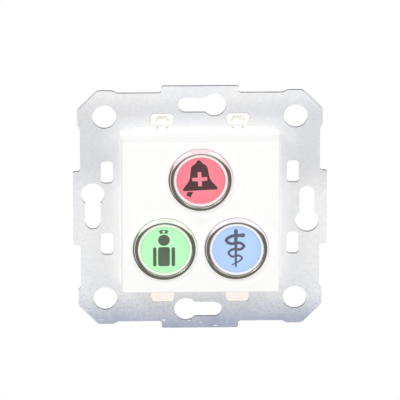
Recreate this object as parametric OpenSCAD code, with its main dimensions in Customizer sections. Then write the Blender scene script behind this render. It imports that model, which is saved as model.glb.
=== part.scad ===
// Flush wall call station: a stamped steel mounting frame carries a white module with three lit push buttons.
// The part is drawn with x to the right, y up and z out of the wall, and each sub-part is then stood upright.
// The origin is the centre of the steel sheet's rear face, so z = 0 is the wall's surface.

/* [Mounting frame] */
// Thickness of the steel sheet
sheet_t = 1; // [0.8:0.1:1.4]
// Distance from the centre line of a keyhole to the outer edge of its middle tab
tab_reach = 5.5; // [4.5:0.25:7]
// Width of each middle tab
tab_w = 21.5; // [18:0.5:24]
// Distance that a middle tab stands out from the straight edge beside it
tab_step = 2; // [1:0.25:2.5]
// Distance that a corner lobe stands out from the straight edge beside it
lobe_step = 0.7; // [0.3:0.1:1.2]
// Length of a corner lobe's straight edge
lobe_w = 4.2; // [3.6:0.2:5.4]
// Length of the slanted step between a lobe and the straight edge
lobe_ramp = 1.3; // [0.8:0.1:2]
// Leg of the corner chamfer
corner_cut = 5.6; // [4.4:0.2:6.4]
// Distance by which the cover laps over each side of the central opening
cover_lap = 1.3; // [0.8:0.1:1.8]
// Height of the opening that stays open to view above the cover, and below it
clip_bar = 1.7; // [1.2:0.1:2]
// Corner radius of the central opening
opening_r = 4; // [2.5:0.5:6]

/* [Frame holes] */
// Diameter of the four corner holes
corner_hole_d = 6.7; // [5:0.1:7.5]
// Distance from a corner hole's centre to the outer edges of the two middle tabs beside it
corner_inset = 8.85; // [8:0.05:9.5]
// Distance from the opening's upper edge to the centre line of the upper keyhole
key_inset = 6; // [5.6:0.1:6.6]
// Diameter of a keyhole's large end
key_big_d = 6.6; // [6.2:0.1:6.8]
// Width of a keyhole's narrow end
key_small_w = 4.3; // [4.2:0.05:4.4]
// Distance from the middle of a side to each end of its keyhole
key_reach = 4; // [3.4:0.1:4.2]
// Length of the eight clip slots
slot_l = 6.4; // [5.6:0.1:6.8]
// Width of the eight clip slots
slot_w = 3.4; // [3:0.1:3.8]
// Corner radius of the clip slots
slot_r = 1; // [0.5:0.1:1.3]
// Width of the steel web between a slot and the central opening
slot_web = 0.3; // [0.2:0.05:0.6]

/* [Insert frame] */
// Depth of the insert frame behind the sheet
insert_depth = 1.6; // [1.2:0.1:2]
// Width of the insert frame's flange behind the sheet
insert_flange = 1.5; // [1:0.1:1.6]
// Wall of the insert frame between the sheet and the rear housing
insert_wall = 1.45; // [1.2:0.05:1.8]
// Height of the clips above the sheet's front face
clip_proud = 0.1; // [0.05:0.05:0.3]
// Length of the slit that frees each clip's tongue
slit_w = 3.6; // [3:0.1:4.2]
// Height of the slit
slit_h = 0.95; // [0.6:0.05:1.1]
// Distance of each core hole of a pair from the middle of its clip
core_x = 1.35; // [1.1:0.05:1.7]

/* [Front cover] */
// Distance from the bezels to the cover's sides
cover_margin = 3.4; // [3:0.05:4.5]
// Distance that each side leans in towards the front
cover_draft = 0.45; // [0.2:0.05:0.8]
// Thickness of the cover's sides
cover_wall = 1.5; // [1.2:0.1:1.7]
// Thickness of the cover's front
cover_plate = 2; // [1.6:0.1:2.2]
// Radius of the cover's front edge
cover_edge_r = 0.5; // [0.3:0.1:0.8]
// Radius of the cover's corners
cover_corner_r = 0.7; // [0.4:0.1:1.2]

/* [Buttons] */
// Distance between the ring nuts of two neighbouring buttons
nut_space = 0.94; // [0.8:0.02:2]
// Distance that the upper button stands above its place in an even group
upper_shift = 1.3; // [0.9:0.1:1.7]
// Distance that the two lower buttons stand above their place in an even group
lower_shift = 1.15; // [0.8:0.05:1.5]
// Wall of a button's cap
cap_wall = 0.85; // [0.7:0.05:1]
// Height of the cap's rim above the cover's front face
cap_proud = 1.3; // [0.3:0.1:1.5]
// Width of the cap's rim
cap_rim = 0.75; // [0.5:0.05:0.8]
// Radius of the rim's two edges
rim_edge = 0.15; // [0.1:0.05:0.2]
// Depth of the seat inside the rim
seat_depth = 0.9; // [0.7:0.05:1.1]
// Thickness of the coloured legend disc
legend_t = 0.4; // [0.3:0.05:0.5]
// Height of the clear lens's dome
lens_dome = 0.25; // [0.1:0.05:0.4]
// Width of the chrome bezel's ring
bezel_ring = 1.25; // [1:0.05:1.5]
// Radius of the bezel's inner lip
bezel_lip = 0.15; // [0.1:0.05:0.25]
// Fall of the bezel's rounded face towards its outside
bezel_fall = 0.45; // [0.3:0.05:0.6]
// Height of the bezel's straight side above the cover's front face
bezel_side = 1.05; // [0.6:0.05:1.3]
// Depth of the recess that each bezel sits in
bezel_recess = 0.3; // [0.2:0.05:0.5]
// Gap round each bezel in its recess
bezel_gap = 0.15; // [0.1:0.05:0.25]
// Travel of a button
travel = 1.2; // [0.6:0.1:1.4]
// Room between a cap at full travel and the rear housing's rim
cap_room = 1; // [0.8:0.1:2]

/* [Rear housing] */
// Wall thickness of the rear housing
housing_wall = 1.4; // [1.2:0.1:1.5]
// Thickness of the rear housing's floor
housing_floor_t = 1.4; // [1.2:0.1:2]
// Room between the terminal header and the floor
header_room = 2.4; // [1:0.2:5]
// Thickness of the flange that seats on the frame
lip_t = 1.2; // [0.8:0.1:1.4]
// Width of the softened edge round the rear face
rear_edge = 0.9; // [0.5:0.1:1.2]
// Number of air slots in the rear face
vents = 7; // [3:1:9]
// Width of an air slot
vent_w = 1.2; // [0.8:0.1:1.6]
// Length of an air slot
vent_l = 6.5; // [4:0.5:8]
// Distance between neighbouring air slots
vent_pitch = 3; // [2.4:0.1:3.4]

/* [Electronics] */
// Height of the board's front face above the wall's surface
board_front = 0.6; // [0.2:0.1:0.8]
// Thickness of the circuit board
board_t = 1.6; // [1.2:0.2:2]
// Distance of a board screw from the board's edges
screw_inset = 3.7; // [3.2:0.1:4.2]
// Width of a switch's square body
switch_w = 7.4; // [7:0.1:7.5]
// Height of a switch's body
switch_h = 4.4; // [3.8:0.1:4.6]
// Diameter of a switch's stem
stem_d = 3.2; // [2.6:0.1:3.4]
// Room between the lamp chips and the baffle's tube
lamp_room = 0.55; // [0.35:0.05:0.8]
// Wire diameter of a return spring
wire_d = 0.45; // [0.35:0.05:0.5]
// Number of turns of a return spring
spring_turns = 3.5; // [2.5:0.5:4]

/* [Terminals] */
// Number of wires that the terminal plug takes
poles = 6; // [4:1:6]
// Distance between neighbouring wires
pole_pitch = 3.81; // [3.5:0.01:3.9]
// Depth of the terminal header behind the board
header_depth = 9.2; // [8:0.2:10]
// Height of the terminal plug's body
plug_h = 11; // [10:0.25:11.5]
// Length of the terminal plug's body behind the header
plug_l = 9; // [8:0.25:12]

/* [Hidden] */
COLOURS = ["red", "green", "blue"];
BUTTON_PARTS = ["bezel", "bezel_nut", "cap", "legend", "lens", "stem", "spring", "switch", "lamps"];
$fn = 64;
soft_fn = 32;
// Distance that a cut runs past the faces it opens
overrun = 1;

// Clearances
running_gap = 0.1;
seat_gap = 0.05;
press_gap = 0.03;
insert_gap = 0.1;
side_gap = 0.15;
stop_gap = 0.1;
clear_gap = 0.3;

// Radii round a button's axis, from the switch and its lamps outwards
lamp_w = 1.25;
lamp_l = 2;
lamp_h = 0.9;
lamp_gap = 0.2;
lamp_x = switch_w / 2 + lamp_gap + lamp_w / 2;
tube_in_r = lamp_x + lamp_w / 2 + lamp_room;
tube_wall = 0.7;
tube_r = tube_in_r + tube_wall;
cap_inner_r = tube_r + clear_gap;
cap_r = cap_inner_r + cap_wall;
legend_r = cap_r - cap_rim - seat_gap;
bezel_in_r = cap_r + running_gap;
bezel_r = bezel_in_r + bezel_ring;
sleeve_t = 0.6;
sleeve_r = bezel_in_r + sleeve_t;
nut_wall = 1.25;
nut_r = sleeve_r + press_gap + nut_wall;
nut_notch_w = 2;
nut_notch_depth = 0.6;
cap_lip_overlap = 0.2;
cap_lip_r = sleeve_r + cap_lip_overlap;

// Places of the buttons, from the ring nuts' size
button_pitch = 2 * nut_r + nut_space;
upper_y = button_pitch / 2 + upper_shift;
lower_y = button_pitch / 2 - lower_shift;
button_at = [[0, upper_y], [-button_pitch / 2, -lower_y], [button_pitch / 2, -lower_y]];

// Widths from the cover outwards over the frame, and inwards to the housing and the board
cover_w = button_pitch + 2 * (bezel_r + cover_margin);
opening_w = cover_w - 2 * cover_lap;
opening_h = cover_w + 2 * clip_bar;
slot_x = key_reach + (key_big_d + slot_l) / 2;
slot_y = opening_h / 2 + slot_web + slot_w / 2;
screw_pitch = opening_h + 2 * key_inset;
frame_w = screw_pitch + 2 * tab_reach;
corner_pitch = frame_w - 2 * corner_inset;
insert_mouth_w = opening_w - 2 * (insert_gap + insert_wall);
housing_w = insert_mouth_w - 2 * side_gap;
housing_inner_w = housing_w - 2 * housing_wall;
board_gap = 0.2;
board_w = housing_inner_w - 2 * board_gap;
board_r = 0.8;

// Edge radii of the steel sheet
tab_r = 0.6;
lobe_r = 1.5;
fillet_r = 0.8;

// Levels from the rear housing's rim through the caps and the bezels to the front
lip_front = sheet_t + lip_t;
cap_lip_t = 1.5;
cap_bottom = lip_front + cap_room + travel;
cap_lip_top = cap_bottom + cap_lip_t;
sleeve_end = cap_lip_top + stop_gap;
sleeve_tail = 0.3;
nut_t = 2.2;
plate_back = sleeve_end + sleeve_tail + nut_t;
cover_front = plate_back + cover_plate;
rim_top = cover_front + cap_proud;
bezel_seat = cover_front - bezel_recess;
seat_front = rim_top - seat_depth;
cap_floor_t = 0.9;
cap_floor_back = seat_front - cap_floor_t;
legend_front = seat_front + legend_t;
lens_back = legend_front + seat_gap;

// The board, the switches and what stands on them
board_back = board_front - board_t;
switch_top = board_front + switch_h;
switch_floor_t = 1;
collar_h = 0.5;
collar_wall = 0.9;
stem_r = stem_d / 2;
stem_bore_r = stem_r + running_gap;
collar_r = stem_bore_r + collar_wall;
boss_wall = 1.1;
boss_r = stem_r + press_gap + boss_wall;
boss_bottom = switch_top + collar_h + travel + clear_gap;
stem_relief = 0.4;
stem_bottom = board_front + switch_floor_t + travel + stem_relief;
stem_tip = 0.4;
spring_r = max(collar_r, boss_r) + clear_gap + wire_d / 2;
tube_relief = 0.8;
tube_top = cap_floor_back - travel - tube_relief;
baffle_t = 1;
baffle_front = board_front + baffle_t;
baffle_inset = 1.5;
baffle_w = board_w - 2 * baffle_inset;
baffle_r = 1.5;

// Board screws, in the posts of the rear housing
screw_reach = board_w / 2 - screw_inset;
screw_at = [[-screw_reach, screw_reach], [screw_reach, screw_reach], [0, -screw_reach]];
screw_head_r = 2;
screw_head_h = 1.4;
screw_shank_r = 0.95;
screw_l = 7;
screw_cross_w = 0.5;
screw_cross_l = 2.2;
screw_cross_depth = 0.7;
post_r = 2.5;
screw_hole_r = screw_shank_r + seat_gap;
pilot_depth = 7.5;

// The rear housing
header_back = board_back - header_depth;
floor_front = header_back - header_room;
housing_back = floor_front - housing_floor_t;
housing_r = 2.4;
vent_inset = 8.2;
rail_w = 1.2;
rail_proud = 0.5;
rail_x = 8;
rail_front_gap = 1;
label_w = 22;
label_h = 5.2;
label_depth = 0.25;
label_inset = 6.8;
pry_w = 5;
pry_h = 1;
pry_depth = 0.8;
lip_w = cover_w - 2 * cover_wall - 2 * clear_gap;
lip_r = 1;
snap_w = 8;
snap_drop = 6;
snap_proud = 0.85;
snap_l = 2.6;
snap_slit = 0.7;
snap_free_end = 0.3;
snap_root = 9;

// The cover's three snap legs
leg_shift = 7;
leg_t = 1.2;
leg_w = 5;
leg_hook_depth = 2.6;
leg_hook_l = 2.2;
leg_hook_proud = 0.8;
leg_out = housing_inner_w / 2 - side_gap;
leg_window_h = leg_hook_l + clear_gap;

// The insert frame and its clips
clip_r = slot_r - insert_gap;
clip_l = slot_l - 2 * insert_gap;
clip_w = slot_w - 2 * insert_gap;
slit_y = 0.5;
slit_leg_w = 0.45;
slit_leg_l = 0.7;
core_w = 0.8;
core_h = 0.6;
core_depth = 1.6;
core_inset = 0.6;
mouth_r = housing_r + side_gap;

// The terminal header and plug
pole_x = [for (i = [0:poles - 1]) (i - (poles - 1) / 2) * pole_pitch];
row_l = (poles - 1) * pole_pitch;
terminal_drop = 3;
pin_w = 1;
pin_l = 7;
pin_recess = 0.2;
pin_hole_r = 0.75;
header_wall = 0.8;
header_h = 8;
header_end = 2.8;
header_l = row_l + 2 * header_end;
header_floor_t = 1.6;
header_key_w = 2;
plug_gap = 0.2;
nose_l = header_l - 2 * header_wall - 2 * plug_gap;
nose_h = header_h - 2 * header_wall - 2 * plug_gap;
nose_front = board_back - header_floor_t - clear_gap;
plug_end = 2.15;
plug_body_l = row_l + 2 * plug_end;
plug_front = header_back - plug_gap;
plug_back = plug_front - plug_l;
plug_bevel_h = 3;
plug_bevel_l = 2.4;
entry_w = 2.7;
entry_h = 3.2;
entry_drop = 1;
entry_depth = 7;
clamp_gap = 0.05;
clamp_l = 4.5;
clamp_wall = 0.45;
clamp_recess = 1.5;
clamp_screw_r = 1.25;
clamp_screw_recess = 0.6;
clamp_slot_w = 0.4;
clamp_slot_depth = 0.6;
clamp_z = plug_back + clamp_recess + clamp_l / 2;
clamp_top = entry_h / 2 - entry_drop - clamp_gap;
socket_w = 1.3;

// Parts on the board's rear face
part_inset_y = 6;
part_inset_x = 6.1;
part_y = screw_reach - part_inset_y;
chip_l = 10;
chip_w = 4;
chip_t = 1.5;
chip_lift = 0.15;
lead_pitch = 1.27;
lead_count = 8;
lead_w = 0.4;
lead_l = 1.1;
lead_t = 0.25;
lead_h = 0.8;
can_reach = 9;
can_base_w = 6.6;
can_base_t = 0.8;
can_r = 3.1;
can_l = 6.4;
can_groove = 0.25;
can_groove_l = 0.6;
chip_part_x = board_w / 2 - part_inset_x;
chip_part_l = 2;
chip_part_w = 1.25;
chip_part_t = 0.6;
chip_part_pitch_x = 3.2;
chip_part_pitch_y = 2.4;

// Steps of a rounded edge and of the springs
edge_steps = 4;
dome_steps = 5;
layer_t = 0.01;
ring_per_turn = 8;
wire_sides = 6;
spring_low = switch_top + wire_d / 2;
spring_rise = cap_floor_back - switch_top - wire_d;
spring_steps = spring_turns * ring_per_turn;
spring_climb = spring_rise / (spring_turns * 360);

// Stands the part upright, with the front towards -Y
module upright() {
    rotate([90, 0, 0]) children();
}

// Extrudes an outline between two levels
module slab(z_low, z_high) {
    translate([0, 0, z_low]) linear_extrude(z_high - z_low) children();
}

// Extrudes an outline drawn as (y, z) along x
module along_x(x_low, x_high) {
    translate([x_low, 0, 0]) rotate([90, 0, 90]) linear_extrude(x_high - x_low) children();
}

// Extrudes an outline drawn as (x, z) along y
module along_y(y_low, y_high) {
    translate([0, y_high, 0]) rotate([90, 0, 0]) linear_extrude(y_high - y_low) children();
}

// A box given by its centre line, its two sides and its levels
module block(at, w, h, z_low, z_high) {
    slab(z_low, z_high) translate(at) square([w, h], center = true);
}

// A rectangle with true round corners
module round_rect(w, h, r) {
    square([w - 2 * r, h], center = true);
    square([w, h - 2 * r], center = true);
    for (x = [-1, 1]) {
        for (y = [-1, 1]) {
            translate([x * (w / 2 - r), y * (h / 2 - r)]) circle(r);
        }
    }
}

// A slot with round ends
module slot(w, l) {
    square([w, l - w], center = true);
    for (y = [-1, 1]) {
        translate([0, y * (l - w) / 2]) circle(w / 2);
    }
}

module ring(r_in, r_out, z_low, z_high) {
    slab(z_low, z_high) difference() {
        circle(r_out);
        circle(r_in);
    }
}

module round_outer(r) {
    offset(r = r, $fn = soft_fn) offset(delta = -r) children();
}

module round_inner(r) {
    offset(r = -r, $fn = soft_fn) offset(delta = r) children();
}

module at_button(i) {
    translate([button_at[i].x, button_at[i].y, 0]) children();
}

// The two places of a clip at the top of the frame
module at_clips() {
    for (x = [-1, 1]) {
        translate([x * slot_x, slot_y]) children();
    }
}

// The three places of a snap leg: one at each side and one at the bottom
module at_legs() {
    translate([0, leg_shift]) children();
    rotate(180) translate([0, -leg_shift]) children();
    rotate(270) children();
}

// A point turned clockwise by quarter turns
function turned(p, quarters) = quarters == 0 ? p : turned([p.y, -p.x], quarters - 1);

// Outline of the sheet without its tabs: straight sides that step out to the corner lobes
module sheet_body() {
    side_edge = frame_w / 2 - tab_step;
    lobe_edge = side_edge + lobe_step;
    lobe_end = lobe_edge - corner_cut;
    lobe_start = lobe_end - lobe_w;
    ramp_start = lobe_start - lobe_ramp;
    side = [[-lobe_end, lobe_edge], [-lobe_start, lobe_edge], [-ramp_start, side_edge],
            [ramp_start, side_edge], [lobe_start, lobe_edge], [lobe_end, lobe_edge]];
    polygon([for (k = [0:3]) for (p = side) turned(p, k)]);
}

module sheet_outline() {
    round_inner(fillet_r) {
        round_outer(lobe_r) sheet_body();
        for (a = [0, 90]) {
            rotate(a) round_outer(tab_r) square([tab_w, frame_w], center = true);
        }
    }
}

// A keyhole on the frame's upper side, with its large end to the right
module keyhole() {
    translate([key_reach, screw_pitch / 2]) circle(d = key_big_d);
    translate([-key_reach, screw_pitch / 2]) circle(d = key_small_w);
    translate([0, screw_pitch / 2]) square([2 * key_reach, key_small_w], center = true);
}

module frame_holes() {
    round_rect(opening_w, opening_h, opening_r);
    for (k = [0:3]) {
        rotate(-90 * k) {
            keyhole();
            translate([corner_pitch / 2, corner_pitch / 2]) circle(d = corner_hole_d);
            for (x = [-1, 1]) {
                translate([x * slot_x, slot_y]) round_rect(slot_l, slot_w, slot_r);
            }
        }
    }
}

module mounting_frame() {
    color("lightsteelblue") upright() slab(0, sheet_t) difference() {
        sheet_outline();
        frame_holes();
    }
}

// One clip: a bridge behind the sheet and a block that fills the slot
module clip() {
    web = slot_y - opening_h / 2;
    slab(-insert_depth, 0) translate([-clip_l / 2, -web]) square([clip_l, web + clip_w / 2]);
    slab(-insert_depth, sheet_t + clip_proud) round_rect(clip_l, clip_w, clip_r);
}

// The cuts that free a clip's tongue, and the pair of blind core holes below it
module clip_cuts() {
    slab(-insert_depth - overrun, sheet_t + clip_proud + overrun) {
        translate([0, slit_y]) square([slit_w, slit_h], center = true);
        for (x = [-1, 1]) {
            translate([x * (slit_w - slit_leg_w) / 2, slit_y - (slit_h + slit_leg_l) / 2])
                square([slit_leg_w, slit_leg_l], center = true);
        }
    }
    for (x = [-1, 1]) {
        block([x * core_x, opening_h / 2 - slot_y - core_inset], core_w, core_h,
              sheet_t - core_depth, sheet_t + overrun);
    }
}

module insert_frame() {
    color("ghostwhite") upright() difference() {
        union() {
            slab(-insert_depth, 0)
                round_rect(opening_w + 2 * insert_flange, opening_h + 2 * insert_flange,
                           opening_r + insert_flange);
            slab(-insert_depth, sheet_t)
                round_rect(opening_w - 2 * insert_gap, opening_h - 2 * insert_gap, opening_r - insert_gap);
            for (a = [0, 180]) {
                rotate(a) at_clips() clip();
            }
        }
        slab(-insert_depth - overrun, sheet_t + overrun) round_rect(insert_mouth_w, insert_mouth_w, mouth_r);
        at_clips() clip_cuts();
    }
}

// The cover's outer form: drafted sides and a rounded front edge
module cover_form() {
    hull() {
        cover_layer(sheet_t, 0);
        for (i = [0:edge_steps]) {
            a = 90 * i / edge_steps;
            rise = cover_edge_r * (sin(a) - 1);
            cover_layer(cover_front + rise - layer_t, cover_draft + cover_edge_r * (1 - cos(a)));
        }
    }
}

module cover_layer(z, inset) {
    side = cover_w - 2 * inset - 2 * cover_corner_r;
    slab(z, z + layer_t) offset(r = cover_corner_r, $fn = soft_fn) square(side, center = true);
}

// A snap leg that hangs from the cover's front and hooks into a window of the rear housing
module cover_leg() {
    along_y(-leg_w / 2, leg_w / 2) polygon([
        [leg_out - leg_t, plate_back], [leg_out, plate_back], [leg_out, -leg_hook_depth],
        [leg_out + leg_hook_proud, -leg_hook_depth], [leg_out, -leg_hook_depth - leg_hook_l],
        [leg_out - leg_t, -leg_hook_depth - leg_hook_l]]);
}

module front_cover() {
    inner_w = cover_w - 2 * cover_wall;
    color("white") upright() {
        difference() {
            cover_form();
            block([0, 0], inner_w, inner_w, sheet_t - overrun, plate_back);
            for (i = [0:2]) {
                at_button(i) slab(plate_back - overrun, cover_front + overrun) circle(sleeve_r + seat_gap);
                at_button(i) slab(bezel_seat, cover_front + overrun) circle(bezel_r + bezel_gap);
            }
        }
        at_legs() cover_leg();
    }
}

// The wedge by which the rear housing holds behind the insert frame
module snap_lug() {
    wall_out = housing_w / 2;
    lug_top = -insert_depth - seat_gap;
    along_y(-snap_w / 2, snap_w / 2) polygon([
        [wall_out - housing_wall, lug_top], [wall_out + snap_proud, lug_top],
        [wall_out, lug_top - snap_l], [wall_out - housing_wall, lug_top - snap_l]]);
}

// The slit round three sides of a snap finger
module snap_slit() {
    half = snap_w / 2 + snap_slit;
    x_mid = (housing_w - housing_wall) / 2;
    difference() {
        block([x_mid, 0], housing_wall + overrun, 2 * half, -snap_root, -snap_free_end);
        block([x_mid, 0], housing_wall + 2 * overrun, snap_w,
              -snap_root - overrun, -snap_free_end - snap_slit);
    }
}

// The housing's outer form: straight walls with a soft rear edge all round
module housing_form() {
    half = housing_w / 2 + overrun;
    intersection() {
        slab(housing_back, lip_front) round_rect(housing_w, housing_w, housing_r);
        along_x(-half, half) housing_profile();
        along_y(-half, half) housing_profile();
    }
}

// The housing's side view, whose two rear corners carry the soft edge
module housing_profile() {
    depth = lip_front + overrun - housing_back;
    translate([0, lip_front + overrun]) round_rect(housing_w, 2 * depth, rear_edge);
}

// The guide rails on two sides of the housing, which centre it in the wall box
module guide_rails() {
    back = housing_back + rear_edge + rail_front_gap;
    for (side = [-1, 1]) {
        for (x = [-1, 1]) {
            block([x * rail_x, side * (housing_w - housing_wall) / 2], rail_w, housing_wall + 2 * rail_proud,
                  back, -insert_depth - rail_front_gap);
        }
    }
}

// What the rear face has: a row of air slots, a bare field and a pry notch at each end of the terminal
module rear_face_cuts() {
    for (i = [0:vents - 1]) {
        translate([(i - (vents - 1) / 2) * vent_pitch, housing_w / 2 - vent_inset])
            slab(housing_back - overrun, floor_front + overrun) slot(vent_w, vent_l);
    }
    block([0, label_inset - housing_w / 2], label_w, label_h,
          housing_back - overrun, housing_back + label_depth);
    for (x = [-1, 1]) {
        block([x * (plug_body_l + 2 * clear_gap + pry_w) / 2, -terminal_drop], pry_w, pry_h,
              housing_back - overrun, housing_back + pry_depth);
    }
}

module leg_window() {
    x_mid = (housing_w - housing_wall) / 2;
    window_top = seat_gap - leg_hook_depth;
    block([x_mid, 0], housing_wall + overrun, leg_w + 2 * clear_gap, window_top - leg_window_h, window_top);
}

module rear_housing() {
    window_w = plug_body_l + 2 * clear_gap;
    window_h = plug_h + 2 * clear_gap;
    color("gainsboro") upright() {
        difference() {
            union() {
                housing_form();
                guide_rails();
                slab(sheet_t, lip_front) round_rect(lip_w, lip_w, lip_r);
            }
            rear_face_cuts();
            slab(floor_front, lip_front + overrun)
                round_rect(housing_inner_w, housing_inner_w, housing_r - housing_wall);
            block([0, -terminal_drop], window_w, window_h, housing_back - overrun, floor_front + overrun);
            at_legs() leg_window();
            for (x = [0, 1]) {
                mirror([x, 0, 0]) translate([0, -snap_drop]) snap_slit();
            }
        }
        for (x = [0, 1]) {
            mirror([x, 0, 0]) translate([0, -snap_drop]) snap_lug();
        }
        for (p = screw_at) {
            translate(p) screw_post();
        }
    }
}

module screw_post() {
    difference() {
        slab(floor_front, board_back) circle(post_r);
        slab(board_back - pilot_depth, board_back + overrun) circle(screw_hole_r);
    }
}

module circuit_board() {
    notch = leg_t + side_gap + board_gap;
    color("darkgreen") upright() slab(board_back, board_front) difference() {
        round_rect(board_w, board_w, board_r);
        at_legs() translate([board_w / 2, 0]) square([2 * notch, leg_w + 2 * clear_gap], center = true);
        for (p = screw_at) {
            translate(p) circle(screw_hole_r);
        }
        for (x = pole_x) {
            translate([x, -terminal_drop]) circle(pin_hole_r);
        }
    }
}

// White moulding that keeps each button's light to itself
module light_baffle() {
    color("whitesmoke") upright() {
        slab(board_front, baffle_front) difference() {
            round_rect(baffle_w, baffle_w, baffle_r);
            for (p = button_at) {
                translate(p) circle(tube_in_r);
            }
            for (p = screw_at) {
                translate(p) circle(screw_hole_r);
            }
        }
        for (i = [0:2]) {
            at_button(i) ring(tube_in_r, tube_r, baffle_front, tube_top);
        }
    }
}

module board_screws() {
    head_top = baffle_front + screw_head_h;
    color("silver") upright() for (p = screw_at) {
        translate(p) difference() {
            union() {
                slab(baffle_front, head_top) circle(screw_head_r);
                slab(head_top - screw_l, baffle_front) circle(screw_shank_r);
            }
            for (a = [0, 90]) {
                rotate(a) block([0, 0], screw_cross_l, screw_cross_w,
                                head_top - screw_cross_depth, head_top + overrun);
            }
        }
    }
}

module controller_chip() {
    chip_top = board_back - chip_lift;
    row = (lead_count - 1) * lead_pitch;
    color("dimgray") upright() translate([0, part_y]) {
        block([0, 0], chip_l, chip_w, chip_top - chip_t, chip_top);
        for (i = [0:lead_count - 1]) {
            for (side = [-1, 1]) {
                translate([i * lead_pitch - row / 2, side * chip_w / 2, 0])
                    rotate(side > 0 ? 0 : 180) chip_lead();
            }
        }
    }
}

// A lead that leaves the chip's side, turns down to the board and lies on it
module chip_lead() {
    along_x(-lead_w / 2, lead_w / 2) polygon([
        [0, board_back - lead_h], [lead_l / 2, board_back - lead_h], [lead_l / 2, board_back - lead_t],
        [lead_l, board_back - lead_t], [lead_l, board_back], [lead_l / 2 - lead_t, board_back],
        [lead_l / 2 - lead_t, board_back - lead_h + lead_t], [0, board_back - lead_h + lead_t]]);
}

module smoothing_capacitor() {
    base_back = board_back - can_base_t;
    can_end = base_back - can_l;
    groove = base_back - can_groove_l;
    color("silver") upright() translate([-can_reach, part_y]) {
        block([0, 0], can_base_w, can_base_w, base_back, board_back);
        slab(groove, base_back) circle(can_r);
        slab(groove - can_groove_l, groove) circle(can_r - can_groove);
        slab(can_end, groove - can_groove_l) circle(can_r);
    }
}

module board_resistors() {
    color("black") upright() for (i = [0:1]) {
        for (j = [-1:1]) {
            block([chip_part_x - i * chip_part_pitch_x, part_y + j * chip_part_pitch_y],
                  chip_part_l, chip_part_w, board_back - chip_part_t, board_back);
        }
    }
}

module terminal_header() {
    cavity_front = board_back - header_floor_t;
    color("darkslategray") upright() translate([0, -terminal_drop]) difference() {
        block([0, 0], header_l, header_h, header_back, board_back);
        block([0, 0], header_l - 2 * header_wall, header_h - 2 * header_wall,
              header_back - overrun, cavity_front);
        for (i = [0, poles - 1]) {
            block([pole_x[i], header_h / 2], header_key_w, 2 * header_wall + overrun,
                  header_back - overrun, cavity_front);
        }
        for (x = pole_x) {
            block([x, 0], pin_w + 2 * press_gap, pin_w + 2 * press_gap,
                  cavity_front - overrun, board_back + overrun);
        }
    }
}

module header_pins() {
    color("goldenrod") upright() for (x = pole_x) {
        block([x, -terminal_drop], pin_w, pin_w, board_back - pin_l, board_front - pin_recess);
    }
}

module terminal_plug() {
    half = plug_h / 2;
    color("darkslategray") upright() translate([0, -terminal_drop]) difference() {
        union() {
            block([0, 0], nose_l, nose_h, plug_front, nose_front);
            along_x(-plug_body_l / 2, plug_body_l / 2) polygon([
                [-half, plug_front], [-half, plug_back], [half - plug_bevel_h, plug_back],
                [half, plug_back + plug_bevel_l], [half, plug_front]]);
        }
        for (x = pole_x) {
            block([x, 0], socket_w, socket_w, nose_front - pin_l, nose_front + overrun);
            block([x, -entry_drop], entry_w, entry_h, plug_back - overrun, plug_back + entry_depth);
            translate([x, half + overrun, clamp_z]) rotate([90, 0, 0])
                cylinder(h = half + overrun - clamp_top, r = clamp_screw_r + clamp_gap);
        }
    }
}

module wire_clamps() {
    w = entry_w - 2 * clamp_gap;
    h = entry_h - 2 * clamp_gap;
    z_low = clamp_z - clamp_l / 2;
    color("silver") upright() for (x = pole_x) {
        translate([x, -terminal_drop - entry_drop]) slab(z_low, z_low + clamp_l) difference() {
            square([w, h], center = true);
            square([w - 2 * clamp_wall, h - 2 * clamp_wall], center = true);
        }
    }
}

module terminal_screws() {
    screw_top = plug_h / 2 - clamp_screw_recess;
    color("silver") upright() for (x = pole_x) {
        translate([x, screw_top - terminal_drop, clamp_z]) rotate([90, 0, 0]) difference() {
            cylinder(h = screw_top - clamp_top, r = clamp_screw_r);
            translate([0, 0, -overrun]) linear_extrude(clamp_slot_depth + overrun)
                square([clamp_slot_w, 2 * clamp_screw_r + overrun], center = true);
        }
    }
}

// Chrome ring with a domed face and a straight side, on a sleeve that runs through the cover
module bezel(i) {
    face_w = bezel_ring - bezel_lip;
    face_r = (face_w ^ 2 + bezel_fall ^ 2) / (2 * bezel_fall);
    crest_x = bezel_in_r + bezel_lip;
    side_top = cover_front + bezel_side;
    crest_z = side_top + bezel_fall;
    color("silver") upright() at_button(i) rotate_extrude() {
        intersection() {
            translate([crest_x, crest_z - face_r]) circle(face_r);
            translate([crest_x, side_top]) square([face_w, bezel_fall]);
        }
        translate([crest_x, crest_z - bezel_lip]) circle(bezel_lip);
        translate([bezel_in_r, side_top]) square([bezel_lip, bezel_fall - bezel_lip]);
        translate([bezel_in_r, bezel_seat]) square([bezel_ring, side_top - bezel_seat]);
        translate([bezel_in_r, sleeve_end]) square([sleeve_t, bezel_seat - sleeve_end]);
    }
}

// Ring nut that pulls the bezel down on the cover from behind
module bezel_nut(i) {
    color("gray") upright() at_button(i) difference() {
        ring(sleeve_r + press_gap, nut_r, plate_back - nut_t, plate_back);
        for (a = [0:90:270]) {
            rotate(a) block([nut_r, 0], 2 * nut_notch_depth, nut_notch_w,
                            plate_back - nut_t - overrun, plate_back - nut_t / 2);
        }
    }
}

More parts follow.
